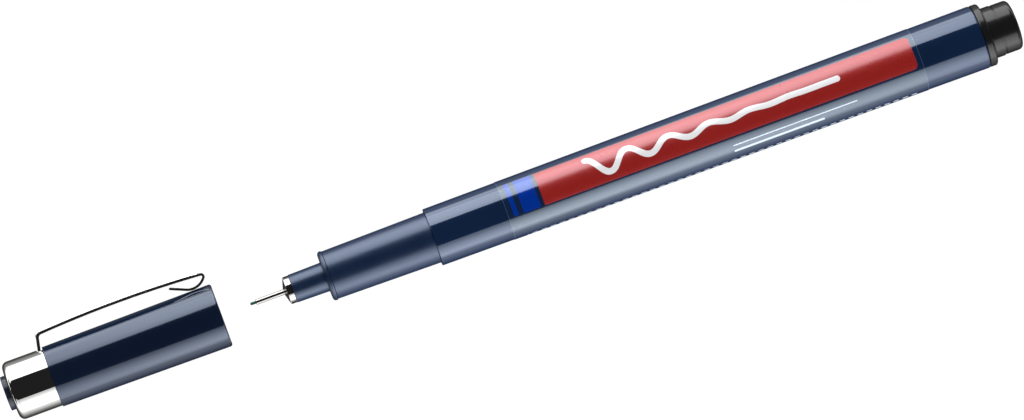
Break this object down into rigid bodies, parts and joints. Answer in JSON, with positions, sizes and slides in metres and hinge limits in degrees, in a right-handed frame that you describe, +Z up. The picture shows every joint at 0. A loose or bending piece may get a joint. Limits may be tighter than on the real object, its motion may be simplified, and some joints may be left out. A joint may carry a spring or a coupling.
{
  "type": "fineliner pen",
  "caption": "Slim round pen with a fibre nib in a steel needle, a tapered barrel and grip, and a pull-off cap with a sprung metal clip.",
  "frame": {"origin": "tip of the nib, on the pen's axis", "axes": "+X along the pen's axis towards its rear, +Y towards the cap's clip, +Z up from the surface that the pen lies on"},
  "size_m": [0.1787, 0.014, 0.011],
  "materials": {
    "navy_gloss_plastic": "polished injection moulding",
    "navy_satin_plastic": "fine satin moulding",
    "black_satin_plastic": "satin moulding",
    "printed_film": "clear film with red and blue printing",
    "polished_steel": "polished stainless steel",
    "chrome_plate": "bright chrome plate",
    "inked_fibre": "fibre wet with ink",
    "reservoir_fibre": "bonded fibre soaked with ink",
    "wrap_film": "thin plastic wrap",
    "liner_plastic": "soft natural plastic",
    "button_plastic": "polished blue disc"
  },
  "bodies": {
    "pen": {"fibre_nib": "inked_fibre", "needle": "polished_steel", "steel_tip": "polished_steel", "nib_holder": "navy_satin_plastic", "wick": "inked_fibre", "ink_reservoir": "reservoir_fibre", "reservoir_wrap": "wrap_film", "grip": "navy_satin_plastic", "barrel": "navy_gloss_plastic", "label_film": "printed_film", "end_plug": "black_satin_plastic"},
    "cap": {"cap_shell": "navy_gloss_plastic", "cap_liner": "liner_plastic", "cap_ferrule": "chrome_plate", "cap_button": "button_plastic"},
    "clip": {"clip": "chrome_plate"}
  },
  "joints": [
    {"name": "cap_slide", "type": "slide", "parent": "pen", "child": "cap", "axis": [1, 0, 0], "range_m": [0, 0.0371]},
    {"name": "clip_flex", "type": "hinge", "parent": "cap", "child": "clip", "pos_m": [-0.03493, 0.0048, 0], "axis": [0, 0, 1], "range_deg": [0, 4.5], "stiffness_Nm_per_rad": 0.25, "springref_deg": -1.72}
  ]
}
